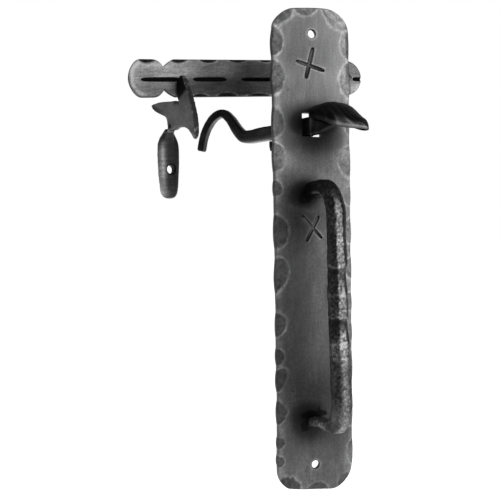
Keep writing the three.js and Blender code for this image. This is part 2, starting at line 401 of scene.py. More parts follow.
def iron(name, mottle, streak, grain, bump, streak_size=(1, 1, 1), rough=(0.62, 0.4), pits=0, pit_tone=0):
    """Forged iron. The mesh's "tone" says how far it is burnished, from black scale to bright metal, and
    also holds painted highlights and painted shade.
    """
    made = bpy.data.materials.new(name)
    nodes, links = node_tree(made)
    shader = nodes["Principled BSDF"]
    shader.inputs["Metallic"].default_value = 1
    place = nodes.new("ShaderNodeTexCoord")
    tone = nodes.new("ShaderNodeAttribute")
    tone.attribute_name = "tone"

    def noise(scale, detail, stretch=(1, 1, 1)):
        mapping = nodes.new("ShaderNodeMapping")
        mapping.inputs["Scale"].default_value = stretch
        texture = nodes.new("ShaderNodeTexNoise")
        texture.inputs["Scale"].default_value = scale
        texture.inputs["Detail"].default_value = detail
        links.new(place.outputs["Object"], mapping.inputs["Vector"])
        links.new(mapping.outputs["Vector"], texture.inputs["Vector"])
        return texture.outputs["Fac"]

    def math_node(operation, *values):
        node = nodes.new("ShaderNodeMath")
        node.operation = operation
        for socket, value in zip(node.inputs, values):
            if isinstance(value, (int, float)):
                socket.default_value = value
            else:
                links.new(value, socket)
        return node.outputs["Value"]

    cloud = noise(70, 3)
    brushed = noise(900, 3, streak_size)
    speck = noise(1250, 2)
    pitted = noise(800, 1.5)
    level = tone.outputs["Fac"]
    for texture, amount in ((cloud, mottle), (brushed, streak), (speck, grain), (pitted, pit_tone)):
        level = math_node("MULTIPLY", level, math_node("MULTIPLY_ADD", texture, 2 * amount, 1 - amount))
    ramp = nodes.new("ShaderNodeValToRGB")
    stops = ramp.color_ramp.elements
    stops[0].color = (BLACK, BLACK, BLACK, 1)
    stops.remove(stops[1])
    for position in (0.25, 0.5, 0.75, 1):
        value = BLACK + (BRIGHT - BLACK) * position ** 2.2
        stops.new(position).color = (value, value, value * 1.01, 1)
    links.new(level, ramp.inputs["Fac"])
    links.new(ramp.outputs["Color"], shader.inputs["Base Color"])

    gloss = nodes.new("ShaderNodeMapRange")
    gloss.inputs["To Min"].default_value, gloss.inputs["To Max"].default_value = rough
    links.new(level, gloss.inputs["Value"])
    links.new(gloss.outputs["Result"], shader.inputs["Roughness"])

    height = math_node("ADD", math_node("MULTIPLY", brushed, 0.5), math_node("MULTIPLY", speck, 0.5))
    if pits:
        height = math_node("ADD", height, math_node("MULTIPLY", pitted, pits))
    relief = nodes.new("ShaderNodeBump")
    relief.inputs["Strength"].default_value = bump
    relief.inputs["Distance"].default_value = 0.0003
    links.new(height, relief.inputs["Height"])
    links.new(relief.outputs["Normal"], shader.inputs["Normal"])
    return made


# ---- backplate

# Corners as (how far they pull the side in, how far they run down it)
TOP_LEFT, TOP_RIGHT = (13, 11.5), (15.5, 12.5)
BOTTOM_LEFT, BOTTOM_RIGHT = (8.5, 11), (15.5, 17)

# Hammer blows along each side: (top, bottom, reach inwards, rise of the blow per mm inwards)
LEFT_BLOWS = [
    (137.2, 119.3, 6, 0), (116.8, 96.2, 7, 0), (88.7, 69.3, 6, 0), (66.8, 48.1, 7, 0),
    (43.7, 33.7, 5, 0), (22.5, 1.2, 8.6, 0), (-4.4, -26, 8.6, 0.4), (-37.8, -53.6, 7, 0.15),
    (-59.8, -70.6, 4.9, 0), (-73.6, -87.6, 7, 0.55), (-92.4, -107.6, 6.4, 0.1),
    (-114.9, -122.6, 5, 0), (-126.2, -133.8, 4.6, 0),
]
RIGHT_BLOWS = [
    (138.3, 119.6, 6, 0), (118, 95, 6.6, 0), (91, 72, 4, 0), (66, 46, 7.6, 0),
    (41, 28, 5.4, 0), (21, 4, 4.4, 0), (-3.8, -19, 4.4, 0), (-26.5, -38.5, 4.6, 0),
    (-46, -58, 4.4, 0), (-63, -86, 5.4, 0), (-97, -111.5, 6, 0), (-120, -136.5, 3.3, 0),
]
# Blows on the ends and corners: (x, z, half width, half height, rise)
END_BLOWS = [
    (-25, 149, 12.4, 10.6, 0), (-4.6, 152.8, 8.8, 7.4, 0), (21, 150.5, 13.5, 12.5, 0),
    (-18.8, -148.8, 8.9, 8.9, 0), (1.5, -151.5, 7.4, 6, 0), (21.6, -147.4, 6.4, 5.8, 0),
]
HOLES_Z, HOLE_RADIUS = (-134.3, 134.3), 2.5
# Chisel crosses: (start, end, width)
CROSSES = [
    ((-10.6, 117.3), (8.5, 112), 2.5), ((0.9, 126.2), (-4.1, 106.6), 2.9),
    ((-7.4, 22), (5.8, 7.7), 2.1), ((3.8, 21.8), (-4.8, 5.8), 2.4),
]


# How far the blows have spread each side out, from the plate's bottom to its top
LEFT_SPREAD = [-130, -100, -50, 10, 35, 60, 130, 150], [0, -0.3, -0.1, 0, 0.35, 0.7, 0.85, 0.5]
RIGHT_SPREAD = [-150, -140, -60, 40, 120, 150], [0.3, 0.8, 0.9, 0.6, 0.2, 0]


def corner(distance, size):
    pull, run = size
    return pull * quarter_round(distance, run)


def swelling(z, blows):
    """How far the hammer has spread the side out at each height."""
    total = np.zeros_like(z)
    for top, bottom, reach, _ in blows:
        part = 1 - ((z - (top + bottom) / 2) / ((top - bottom) / 2)) ** 2
        total = np.maximum(total, unit(part) * (0.35 + 0.05 * reach))
    return total


def plate_sides(z):
    left = -HALF_WIDTH + corner(HALF_LENGTH - z, TOP_LEFT) + corner(HALF_LENGTH + z, BOTTOM_LEFT)
    right = HALF_WIDTH - corner(HALF_LENGTH - z, TOP_RIGHT) - corner(HALF_LENGTH + z, BOTTOM_RIGHT)
    left += 0.25 + 0.15 * lumps(xyz(z, 0, 0), 9, 5) - np.interp(z, *LEFT_SPREAD) - swelling(z, LEFT_BLOWS)
    right += 0.15 * lumps(xyz(z, 0, 0), 9, 6) - 0.25 + np.interp(z, *RIGHT_SPREAD) + swelling(z, RIGHT_BLOWS)
    return left, right


def plate_blows(x, z):
    """How deep inside the nearest hammer blow each place is, from below 0 outside to 1, and how
    many mm the blow presses it in."""
    best = np.full(np.shape(x), -9)
    scoop = np.zeros(np.shape(x))
    flat = xyz(x, 0, z)
    ragged = 0.16 * lumps(flat, 4.5, 17) + 0.12 * lumps(flat, 1.7, 18)
    spots = [(side * (HALF_WIDTH + 1), (top + bottom) / 2, reach + 1, (top - bottom) / 2, rise)
             for side, blows in ((-1, LEFT_BLOWS), (1, RIGHT_BLOWS)) for top, bottom, reach, rise in blows]
    for cx, cz, half_x, half_z, rise in spots + END_BLOWS:
        inside = 1 - ((x - cx) / half_x) ** 2 - ((z - cz - rise * abs(x - cx)) / half_z) ** 2 + ragged
        best = np.maximum(best, inside)
        deep = 0.3 + 0.05 * min(half_x, half_z)
        if cx < 0:
            deep *= 0.75
        scoop = np.maximum(scoop, unit(inside) * deep)
    return best, scoop


def distance_to(x, z, start, end):
    """Distance from each place to a line between two points, and how far along the line that is."""
    along = np.subtract(end, start)
    t = unit(((x - start[0]) * along[0] + (z - start[1]) * along[1]) / (along @ along))
    return np.hypot(x - start[0] - t * along[0], z - start[1] - t * along[1]), t


# How wide a groove is along its length, as shares
CHISEL_EDGE = [(0, 0.25), (0.03, 0.6), (0.09, 0.85), (0.2, 0.95), (0.5, 1), (0.85, 1), (0.94, 0.85),
               (0.98, 0.6), (1, 0.25)]


def chisel(start, end, width, depth, face_y):
    """A cutter for a V groove with pointed ends, in a face that looks towards -Y."""
    start, end = np.array(start), np.array(end)
    along = (end - start) / np.linalg.norm(end - start)
    side = np.array([-along[1], along[0]])
    proud = 1
    rings = []
    for t, share in CHISEL_EDGE:
        middle = start + (end - start) * t
        spread = width / 2 * share * (1 + 0.7 * proud / (depth * share))
        floor = width / 2 * share * 0.45
        ring = []
        for offset, y in ((-spread, face_y - proud), (spread, face_y - proud),
                          (floor, face_y + depth * share), (-floor, face_y + depth * share)):
            x, z = middle + side * offset
            ring.append((x, y, z))
        rings.append(ring)
    return loft("chisel", rings)


def round_tool(x, z, stations):
    return lathe("drill", stations, (x, 0, z), sides=36)


def backplate():
    ends = 14
    bend = np.linspace(0, math.pi / 2, 22)[:-1]
    from_end = ends * (1 - np.cos(bend))
    middle = np.arange(-HALF_LENGTH + ends, HALF_LENGTH - ends + 0.01, 0.62)
    z = np.concatenate([-HALF_LENGTH + from_end, middle, (HALF_LENGTH - from_end)[::-1]])
    left, right = (side[:, None] for side in plate_sides(z))
    edge = np.array([0, 0.12, 0.35, 0.7, 1.1, 1.6, 2.2, 2.8, 3.4, 4.1, 4.8, 5.5, 6.2, 7, 7.8, 8.6])
    half = np.concatenate([edge, np.linspace(9.2, HALF_WIDTH, 26)])
    share = np.concatenate([half, 2 * HALF_WIDTH - half[::-1][1:]]) / (2 * HALF_WIDTH)
    x = left + (right - left) * share
    height = z[:, None] + 0 * x
    blow, scoop = plate_blows(x, height)
    places = xyz(x, 0, height)
    inside = np.minimum(np.minimum(x - left, right - x), HALF_LENGTH - abs(height))
    rounding = 0.55 * quarter_round(inside, 0.9)
    wave = 0.1 * lumps(places, (14, 1, 20), 11) + 0.05 * lumps(places, (4, 1, 6), 12)
    rough = (0.09 * lumps(places, 2, 13) + 0.07 * lumps(places, 1, 14)) * ease(blow, 0, 0.3)
    front = FRONT + scoop + np.maximum(rounding - 0.3 * scoop, 0)
    front_points = xyz(x, front + np.where(scoop > 0, rough, wave * 0.6), height)
    back_share = np.concatenate([[0, 0.012], np.linspace(0.05, 0.95, 13), [0.988, 1]])[::-1]
    back_x = left + (right - left) * back_share
    back_y = np.where((back_share == 0) | (back_share == 1), -0.35, 0)
    back_y = back_y - 0.06 * (1 + lumps(xyz(back_x, 0, z[:, None]), 9, 15))
    back_points = xyz(back_x, back_y, z[:, None])
    plate = loft("backplate_forged", np.concatenate([front_points, back_points], axis=1), angle=50)

    stations = [(FRONT - 1, HOLE_RADIUS + 1.3), (FRONT + 0.25, HOLE_RADIUS), (FRONT + 1.6, HOLE_RADIUS),
                (1, HOLE_RADIUS + 1.3)]
    tools = [round_tool(0, hole_z, stations) for hole_z in HOLES_Z]
    (x0, z0), (x1, z1) = SLOT_LOW, SLOT_HIGH
    punch = [[(x0, y, z0), (x1, y, z0), (x1, y, z1), (x0, y, z1)] for y in (FRONT - 3, 3)]
    tools.append(loft("punch", punch))
    tools += [round_tool(0, foot_z, [(FRONT - 1, 3.2), (-2.2, 3.2), (0.6, 5.2)]) for foot_z in FEET_Z]
    tools += [chisel(*cross, 1.1, FRONT) for cross in CROSSES]
    cut(plate, *tools, angle=42)
    places = bend_ends(points_of(plate))
    set_points(plate, places)
    paint(plate, plate_tone(places))
    return plate


def bend_ends(places):
    """The two ends of the plate are crowned and out of square."""
    across = places[:, 0] / HALF_WIDTH
    top = places[:, 2] > 0
    crown = np.where(top, 2.1, -0.9) * across ** 2 - np.where(top, 0.6, -0.3)
    slant = np.where(top, 1.35, -2.5) * across
    places[:, 2] += (slant - crown) * ease(np.abs(places[:, 2]), 128, 150)
    return places


# Lighter and darker patches on the plate, some of them painted shadow beside the handle's left side: (x, z,
# half width, half height, change)
PLATE_SHADES = [
    (-9, 129, 9, 16, -0.12), (14, 106, 12, 9, 0.16), (9, -10, 5, 40, -0.12), (4, 21, 9, 7, -0.2),
    (7, -88, 10, 21, -0.28), (-3, -116, 12, 6, -0.22), (-20, -106, 6, 14, 0.16), (23, -130, 7, 14, 0.18),
    (-20, 56, 8, 8, 0.14), (21, 58, 8, 8, 0.12),
]
# Black scale round the slot and the feet: (x, z, half width, half height, how sharp, how black)
BLACK_SCALE = [
    (1.5, 79, 15, 10.5, 2.6, 0.95), (8, 86.5, 16, 4, 2.4, 0.97), (-3.5, 79, 14.5, 11, 2.6, 0.95),
    (0, 72, 19, 16, 2.6, 0.64), (-5.5, 35, 11, 9, 2.2, 0.92), (-9.5, 18, 12, 15, 2.2, 0.38),
    (-5, -105, 11, 10, 2, 0.86), (-4, -90, 13, 14, 2, 0.18),
]


def halo(x, z, cx, cz, half_x, half_z, power=2):
    """1 in the middle of a soft oval and 0 well outside it."""
    return np.exp(-(((x - cx) / half_x) ** 2 + ((z - cz) / half_z) ** 2) ** (power / 2))


def plate_tone(points):
    x, y, z = points.T
    blow, _ = plate_blows(x, z)
    flat = xyz(x, 0, z)
    tone = np.interp(z, [-150, -125, -112, -90, 0, 40, 50, 60, 75, 90, 100, 122, 150],
                     [0.56, 0.47, 0.43, 0.42, 0.48, 0.5, 0.52, 0.64, 0.64, 0.62, 0.6, 0.64, 0.66])
    # Lays on the patches, the painted shadow beside the handle among them
    for *spot, amount in PLATE_SHADES:
        tone *= 1 + amount * halo(x, z, *spot, 2.6)
    tone *= 1 + 0.2 * ease(x, 4, 22) * ease(z, 84, 110)
    across = ease(x, -14, 10)
    body = ease(z, -118, -100) * (1 - ease(z, 42, 56))
    tone *= 1 + body * (0.3 * across - 0.08)
    black = 0
    for *spot, depth in BLACK_SCALE:
        black = np.maximum(black, depth * halo(x, z, *spot))
    tone *= 1 - black
    tone *= 1 + 0.05 * lumps(flat, (9, 1, 15), 21) + 0.04 * lumps(flat, (3, 1, 8), 22)
    # Painted light and shade: the hammer blows are painted darker on the left side of the plate and lighter
    # on the right, as the light falls
    leftward = 1 - ease(x, -20, 20)
    grit = 0.5 + 0.3 * lumps(flat, 2.2, 26) + 0.35 * lumps(flat, 1, 27)
    inside = ease(blow, -0.05, 0.25)
    tone *= 1 - inside * 0.12 * (2 * leftward - 1) - 0.3 * inside * (grit - 0.5)
    patchy = np.clip(0.7 + 0.55 * lumps(flat, 5.5, 23) + 0.25 * lumps(flat, 1.6, 25), 0.15, 1.1)
    # The blows' rims are burnished, with a painted highlight added on the right side
    rim = bump(blow + 0.02, np.where(blow > -0.02, 0.11, 0.24))
    faint = 1 - 0.45 * halo(x, z, 11, 143, 8, 8) - 0.35 * ease(-z, 125, 135)
    tone += (0.22 + 0.07 * (1 - leftward)) * rim * patchy * faint * (1 - 0.75 * black)
    land = ease(np.abs(x), 18, 25) * (1 - inside) * (1 - 0.4 * black)
    tone += (0.12 + 0.08 * lumps(flat, 2, 28)) * land
    tone *= 1 - 0.2 * inside * ease(-z, 137, 141)
    # Painted shade in the blows along the upper right edge
    tone *= 1 - 0.4 * ease(x, 22.2, 24.2) * inside * ease(z, 100, 112)
    tone *= 1 + 0.07 * lumps(flat, 1, 33) * (1 - ease(z, 50, 90))
    for start, end, width in CROSSES:
        away, t = distance_to(x, z, start, end)
        groove = (away < width * 0.55) & (y > FRONT + 0.2) & (y < -1)
        # Painted highlight on the deeper floor of each groove, fading along it
        groove_highlight = ease(y, FRONT + 0.6, FRONT + 1) * (1 - 0.45 * ease(t, 0.5, 0.8))
        tone = np.where(groove, 0.06 + 0.4 * groove_highlight, tone)
        # Painted highlight along the edges beside the groove
        beside = bump(away - width * 0.62, 0.5) * (away > width * 0.45)
        tone += 0.15 * beside * (t > 0.02) * (t < 1) * ~groove
    for hole_z in HOLES_Z:
        from_hole = np.hypot(x, z - hole_z) - HOLE_RADIUS
        tone += 0.13 * bump(from_hole - 0.9, 0.6)
        tone = np.where((from_hole < 0.25) & (y > FRONT + 0.1), 0.1, tone)
        tone = np.where((from_hole < 1.6) & (y > FRONT + 1), 0.16, tone)
    tone *= 1 - 0.72 * foot_scale(x, z)
    tone = np.where(y > FRONT + 2, 0.34 + 0.06 * lumps(flat, 11, 24), tone)
    tone = np.where(y > -0.6, 0.5 + 0.1 * lumps(flat, 11, 24), tone)
    return np.clip(tone, 0.02, 1)


# Ragged scale round the feet of the handle: (x, z, half width, half height, how strong)
FOOT_SCALE = [
    (-1, -102.4, 9, 2.6, 0.8), (-7, -107, 3.4, 6.5, 0.7), (2.5, -98.8, 1.6, 1.6, 0.5),
    (-5.5, 33, 5.5, 4.5, 0.8),
]


def foot_scale(x, z):
    """Where ragged black scale lies around the two feet of the handle, from 0 to 1."""
    flat = xyz(x, 0, z)
    ragged = 1.6 * lumps(flat, 3.2, 29) + lumps(flat, 1.5, 30)
    scale = sum(strong * halo(x, z, *spot, 4) for *spot, strong in FOOT_SCALE)
    return ease(scale + 0.22 * ragged, 0.42, 0.6)


# ---- bow handle

GRIP_ACROSS = 11
# Width and thickness to which the lower foot is drawn out
LOWER_FOOT = (9, 3.6)
GRIP_Y = box_mm("pull_handle")[0][1] + GRIP_ACROSS / 2
FEET_Z = (37.8, -107)
# Hollows between the grip's three knuckles: (top, bottom)
KNUCKLES = [(-8.9, -25.8), (-38.2, -53.7)]


def pull_handle():
    upper, lower = FEET_Z
    face = FRONT - 0.05
    path = [
        (face, upper), (-14, upper + 0.2), (-24, upper - 0.3), (-32.6, upper - 4.5),
        (GRIP_Y + 0.8, upper - 13.5), (GRIP_Y, upper - 28), (GRIP_Y, -30),
        (GRIP_Y - 0.4, lower + 32), (GRIP_Y - 0.4, lower + 16.5), (-34.6, lower + 6.6),
        (-25, lower + 2.7), (-12, lower + 1.5), (face, lower),
    ]
    middle = smooth_path([(0, y, z) for y, z in path], 400)
    lean = np.interp(middle[:, 2], [-90, -70, -55, -40, -15, 10, 28], [1.8, 1.5, 0.9, 0.4, 0.1, -0.35, -0.3])
    middle[:, 0] = lean * ease(-middle[:, 1], 8, 30)
    t = np.linspace(0, 1, len(middle))
    angles = circle(72)
    octagon = facets(angles, zip(range(0, 360, 45), (1, 1.04, 1, 1.04, 1, 1.05, 1, 1.03)), 34)
    drawn = ease(t, 0.83, 0.93)
    stout = np.interp(middle[:, 2], [-60, -20, 12, 34], [1.03, 1.01, 0.92, 0.95])
    half_x, half_y = (GRIP_ACROSS / 2 * stout + (foot - GRIP_ACROSS) / 2 * drawn for foot in LOWER_FOOT)
    reach = np.hypot(half_x[:, None] * np.cos(angles), half_y[:, None] * np.sin(angles)) * octagon
    on_grip = (middle[:, 1] < -30) & (middle[:, 2] < 25)
    uneven = 0.35 * np.cos(angles - 0.6)
    for top, bottom in KNUCKLES:
        part = (top - middle[:, 2])[:, None] / (top - bottom) + 0.06 * np.cos(2 * angles)
        pressed = ease(part, -0.06, 0.12) * (1 - ease(part, 0.35, 1.04)) * on_grip[:, None]
        reach -= (0.75 + uneven) * pressed
    rings = sweep(middle, reach, angles)
    bow = loft("pull_handle_forged", rings, angle=60)
    hammer(bow, 0.26, (6, 6, 11), 31)
    hammer(bow, 0.13, (1.8, 1.8, 2.4), 36)
    hammer(bow, 0.08 + 0.08 * ease(-points_of(bow)[:, 2], 46, 62), 1.1, 32)
    tone = handle_tone(points_of(bow), np.tile(angles, len(middle)))
    dome = [(FRONT + 0.2, 2.9), (-2.1, 2.95), (-0.25, 4.7), (0.1, 4.3), (0.32, 3), (0.42, 0.2)]
    join(bow, *[lathe("tenon", dome, (0, 0, z), sides=28, wobble=0.18, seed=35) for z in FEET_Z])
    rest = len(bow.data.vertices) - len(tone)
    paint(bow, np.concatenate([tone, np.full(rest, 0.5)]))
    return bow


def handle_tone(points, angles):
    _, y, z = points.T
    pits = lumps(points, 1.15, 43)
    # A painted highlight lies on the grip's front face as a band of ring angles; where it lies, and how wide
    # it is, change along the grip.
    degrees = np.degrees(angles) % 360
    wander = 4 * lumps(xyz(0, 0, z), 7, 46) + 5 * lumps(points, 1.6, 47)
    low = ease(-z, 50, 68)
    slide, soft = 9 * ease(z, -12, 18), 8 * low
    highlight = ease(degrees + wander, 60 + slide - soft, 68 + slide + soft)
    highlight *= 1 - ease(degrees + wander, 106 + 0.6 * slide - soft, 116 + 0.6 * slide + soft)
    highlight *= ease(-y, 20, 32) * ease(-z, -37, -27)
    uneven = 1 - 0.45 * low
    patch = 0.92 + uneven * (0.2 * lumps(points, (2.2, 2.2, 3.5), 42) + 0.3 * pits)
    patch = np.clip(patch, 0.25, 1.35) * (1 - 0.45 * bump(z + 42.5, 3))
    tone = 0.275 + 0.05 * lumps(points, (4, 4, 9), 41) + 0.15 * pits * (1 - 0.25 * low)
    tone += 0.03 * low + 0.18 * (1 + 0.8 * pits) * bump(z + 57, 6.5) + 0.07 * ease(-z, 80, 90)
    tone += (0.5 - 0.2 * low) * highlight * patch
    for top, bottom in KNUCKLES:
        part = (top - z) / (top - bottom)
        shade = ease(part, -0.02, 0.05) * (1 - ease(part, 0.25, 0.55)) * (y < -30)
        broken = unit(0.6 + 0.7 * lumps(points, 1.7, 48))
        tone *= 1 - 0.55 * shade * broken
        for boundary in (top, bottom):
            crest = bump(z - boundary - 0.8 + 0.8 * lumps(points, 3, 49), 0.8)
            tone += 0.2 * crest * (y < -30)
    tone *= 1 - 0.18 * ease(-z, 36, 39) * (1 - ease(-z, 50, 54)) * (1 - highlight)
    tone *= 1 - 0.5 * ease(z, 20, 36) * (1 - ease(-y, 8, 34))
    # Painted reflections along the inner side of the upper arch
    inner = 0.5 * bump(degrees - 240, 9) + bump(degrees - 207, 8)
    tone += 0.8 * inner * ease(z, 20, 28) * ease(-y, 10, 18) * (1 - ease(-y, 30, 36))
    lower = ease(-z, 88, 98)
    streaky = 0.5 + 0.5 * np.cos(4 * angles + 3 * lumps(points, 4, 45))
    tone += lower * (0.1 + 0.16 * streaky) * (1 - highlight) * ease(-y, 3, 9)
    tone += 0.32 * lower * (1 - ease(-y, 22, 30))
    # Painted shade on a facet of the bottom bend, and a painted highlight along its rim
    tone *= 1 - 0.34 * ease(-z, 94, 102) * ease(-y, 26, 34) * (1 - highlight)
    tone += 0.14 * bump(degrees - 90, 26) * ease(-z, 96, 101) * ease(-y, 24, 30)
    return np.clip(tone, 0.04, 1)


# ---- thumb lever

LEVER_HALF_WIDTH = 2.3
# Middle line of the shank and tail in the lever's own Y and Z, and its half height there
LEVER_LINE = [
    (-18, -0.9, 0.5), (-12.6, -1.4, 1.8), (-7, -1.4, 4.3), (-2.8, -1.1, 5.2), (-1.2, -0.9, 6.2),
    (3.8, -1, 6.2), (5.6, -1.4, 6.6), (14, -1.7, 6.2), (26, -2.2, 4.9), (36, -2.8, 4.7), (43, -3.4, 4.4),
    (50, -2.4, 4.1), (55.2, 3, 3.5), (60.2, 9.9, 3.1), (65.4, 13.8, 2.8), (70.6, 13.2, 2.7),
    (75.3, 10.2, 2.65), (79.3, 5.1, 2.6), (82.2, -1.4, 2.55), (84.4, -10.2, 2.5),
]


def lever_shank():
    line = smooth_path([(0, y, z, half) for y, z, half in LEVER_LINE], 230)
    middle = line[:, :3]
    half_height = line[:, 3]
    lengths = lengths_along(middle)
    round_off = 1 - 0.28 * (1 - unit((lengths[-1] - lengths) / 1.2)) ** 2
    angles = circle(44)
    radii = []
    for place, half, scale in zip(middle, half_height, round_off):
        wide = LEVER_HALF_WIDTH + 0.3 * (1 - ease(place[1], -3.6, -2.9))
        corner_cut = math.hypot(wide, half) * 0.93
        slant = math.degrees(math.atan2(wide, half))
        sides = [(0, wide), (90, half), (180, wide), (270, half)]
        sides += [(facing + way * slant, corner_cut) for facing in (90, 270) for way in (-1, 1)]
        radii.append(facets(angles, sides, 22) * scale)
    rings = sweep(middle, np.array(radii), angles)
    shank = loft("lever_shank_forged", in_lever(rings), angle=50)
    hammer(shank, 0.16, 4, 51)
    hammer(shank, 0.06, 1.5, 52)
    degrees = np.degrees(np.tile(angles, len(middle)))
    paint(shank, lever_tone(points_of(shank), read_mesh(shank, "normal"), degrees))
    return shank


def lever_tone(points, normals, degrees):
    x, y, z = turn(points - LEVER_ORIGIN, -LEVER_YAW).T
    down = -normals[:, 2]
    # Painted light from below: faces that look down are lighter
    tone = 0.28 + 0.06 * lumps(points, 6, 53) + 0.22 * ease(down, 0.35, 0.85)
    tail = ease(points[:, 1], 44, 56)
    # On the tail, painted light on faces that look down and sideways, and patchy painted highlights on faces
    # that look up
    tone += 0.1 * tail * ease(down + normals[:, 0], 0.4, 1)
    tone += 0.08 * tail * ease(-down, 0.2, 0.8) * unit(0.5 + lumps(points, 2, 54))
    # Painted shade where the shank passes through the slot, fading behind the plate
    tone *= 0.4 + 0.6 * ease(points[:, 1], 2, 14)
    rising = ease(y, 46, 51) * (1 - ease(y, 62, 68))
    falling = ease(y, 66, 71)
    # Painted light and shade on the tail's facets: lit facets and dark lines along the rising and falling
    # strokes, and a painted highlight along one facet of the straight part
    tone += 0.24 * rising * bump(degrees - 272, 30)
    tone *= 1 - 0.75 * rising * bump(degrees - 228, 11)
    tone += 0.06 * falling * bump(degrees - 98, 32)
    tone *= 1 - 0.6 * falling * bump(degrees - 138, 9)
    tone += 0.2 * falling * bump(degrees - 222, 9)
    tone += 0.42 * bump(degrees - 98, 34) * ease(y, 4, 12) * (1 - falling)
    web = y < -0.4
    web_tone = 0.15 + 0.14 * ease(y, -9, -2) * ease(z, -5, 3) + 0.05 * lumps(points, 2, 59)
    tone = np.where(web, web_tone, tone)
    # A thin light line along the web, and painted light from below on faces under the web
    tone += 0.16 * bump(y + 1.1, 0.55) * (x < 0) * (z > -5) + 0.22 * web * ease(down, 0.15, 0.6)
    return np.clip(tone, 0.03, 1)


# The thumb piece's sizes, and the slope and turn at which it leaves the plate
PAD_START, PAD_LENGTH, PAD_WIDTH, PAD_RISE = 2.6, 39.5, 27, 12.3
PAD_UNDER, PAD_SLOPE, PAD_TURN, PAD_CREST = 5.2, math.radians(17), math.radians(10), 0.47
PAD_RIBS, PAD_SKEW = 5.6, 0.85


def thumb_pad():
    """A domed leaf with slanting ribs, a thin lip all round and a hollow underneath."""
    t = (1 - np.cos(np.linspace(0.05, math.pi - 0.03, 84))) / 2
    reach = PAD_START + PAD_LENGTH * t
    swell = unit(np.sin(math.pi * t ** 0.918))
    half_width = PAD_WIDTH / 2 * swell ** np.where(t < PAD_CREST, 0.36, 0.7) + 0.2
    rise = PAD_RISE * swell ** np.where(t < PAD_CREST, 0.38, 0.52) + 0.3 + ease(t, 0.85, 0.97)
    rise += 1.9 * bump(t - 0.64, 0.14) - bump(t - 0.2, 0.11)
    base = PAD_UNDER - np.tan(PAD_SLOPE) * reach
    base += 0.5 * ease(t, 0.88, 1) - 1.2 * np.sin(math.pi * unit((t - 0.42) / 0.5))
    v = np.sin(np.linspace(-math.pi / 2, math.pi / 2, 49))
    lip = np.minimum(1.5, rise * 0.6)
    crown = np.sqrt(unit(1 - v ** 2))
    top = lip[:, None] + (rise - lip)[:, None] * crown
    phase = 2 * math.pi * PAD_RIBS * (t[:, None] + PAD_SKEW * v)
    rib = np.cos(phase) + 0.3 * np.cos(2 * phase)
    fade = ease(t, 0.06, 0.25) * (1 - 0.6 * ease(t, 0.88, 1)) * rise / PAD_RISE
    top += 0.09 * rib * fade[:, None] * (0.3 + 0.7 * crown)
    w = v[::-1][1:-1]
    depth = (rise - lip) * 0.62 * ease(t, 0.45, 0.62) * (1 - ease(t, 0.86, 0.97))
    hollow = depth[:, None] * np.sqrt(unit(1 - (w / 0.86) ** 2))
    spread = np.concatenate([v, w]) + 0 * t[:, None]
    height = base[:, None] + np.concatenate([top, hollow], axis=1)
    facing = LEVER_YAW - PAD_TURN
    clear = (math.cos(facing) * reach - LEVER_HALF_WIDTH) / math.sin(facing)
    x = np.minimum(spread * half_width[:, None], np.maximum(clear, 0.02)[:, None] - 0.02 * (1 - spread))
    rings = in_lever(turn(xyz(x, -reach[:, None], height), -PAD_TURN))
    pad = loft("thumb_pad_forged", rings, angle=46)
    hammer(pad, 0.1, 2.5, 55)
    on_top = np.arange(spread.shape[1]) < len(v)
    paint(pad, pad_tone(t[:, None], spread, on_top).ravel())
    return pad


def pad_tone(along, spread, on_top):
    rib = np.cos(2 * math.pi * PAD_RIBS * (along + PAD_SKEW * spread))
    tone = 0.02 + 0.2 * ease(rib, 0.7, 1) * (0.2 + ease(along, 0.3, 0.72)) * on_top
    near_rim = ease(-spread, 0.84, 0.98) * ease(along, 0.56, 0.74) * on_top
    tone += (0.5 + 0.12 * rib) * near_rim * (1 - 0.6 * ease(along, 0.9, 0.95))
    tone += (0.34 + 0.1 * rib) * ease(spread, 0, 0.5) * ease(along, 0.5, 0.75) * on_top
    # Painted light along the lip's edge, which faces down into shade
    tone += (0.16 + 0.26 * ease(along, 0.4, 0.7)) * unit((np.abs(spread) - 0.99) / 0.006)
    tone += 0.16 * ease(along, 0.88, 0.97) * on_top
    return np.clip(tone, 0.02, 1)


def stop_peg():
    low, high = box_mm("stop_peg")
    radius = (high[0] - low[0]) / 2
    centre = (low + high) / 2
    profile = [(high[2], 0.85), (high[2] - 0.25, 1), (high[2] - 3, 0.97), (low[2] + 1, 0.84),
               (low[2] + 0.35, 0.72), (low[2], 0.45)]
    around = circle(28)
    rings = [centre * (1, 1, 0) + xyz(radius * share * np.cos(around), radius * share * np.sin(around), z)
             for z, share in profile]
    peg = loft("stop_peg_forged", rings, angle=50)
    hammer(peg, 0.12, 2, 57)
    paint(peg, 0.16 + 0.05 * lumps(points_of(peg), 2, 58))
    return peg


# ---- latch bar

# Half the bar's height and thickness, and its two ends measured from the pivot
BAR_HALF, BAR_DEEP, BAR_LEFT, BAR_RIGHT = 12.1, 2.25, -150.3, 14
LOBE_FLAT, LOBE_TURN, WAIST, SHOULDER, WAIST_HALF = -142.4, -135.2, -127.6, -120.6, 7.3
DASH_Z = -1.1
DASHES = [(-142.6, -117.2), (-108.2, -85.4), (-74.9, -51.5), (-41.5, -18), (7.2, 18)]
# Blows on the bar's long edges: (from, to, reach, which edge)
BAR_BLOWS = [
    (-143.4, -132.2, 2.6, 1), (-123, -111.2, 2.4, 1), (-102.8, -91.2, 2.2, 1), (-82.8, -70.2, 1.9, 1),
    (-61.5, -51.5, 1.8, 1), (-38, -28, 2, 1), (-14, -4, 2, 1),
    (-108.8, -99.2, 1.5, -1), (-91.8, -79.2, 2.1, -1), (-70.8, -55.2, 1.8, -1), (-44, -33, 2, -1),
    (-22, -12, 2, -1),
]


def bezier(points, count=16):
    points = np.asarray(points, float)
    t = np.linspace(0, 1, count)[:, None]
    order = len(points) - 1
    return sum(math.comb(order, k) * (1 - t) ** (order - k) * t ** k * points[k] for k in range(order + 1))


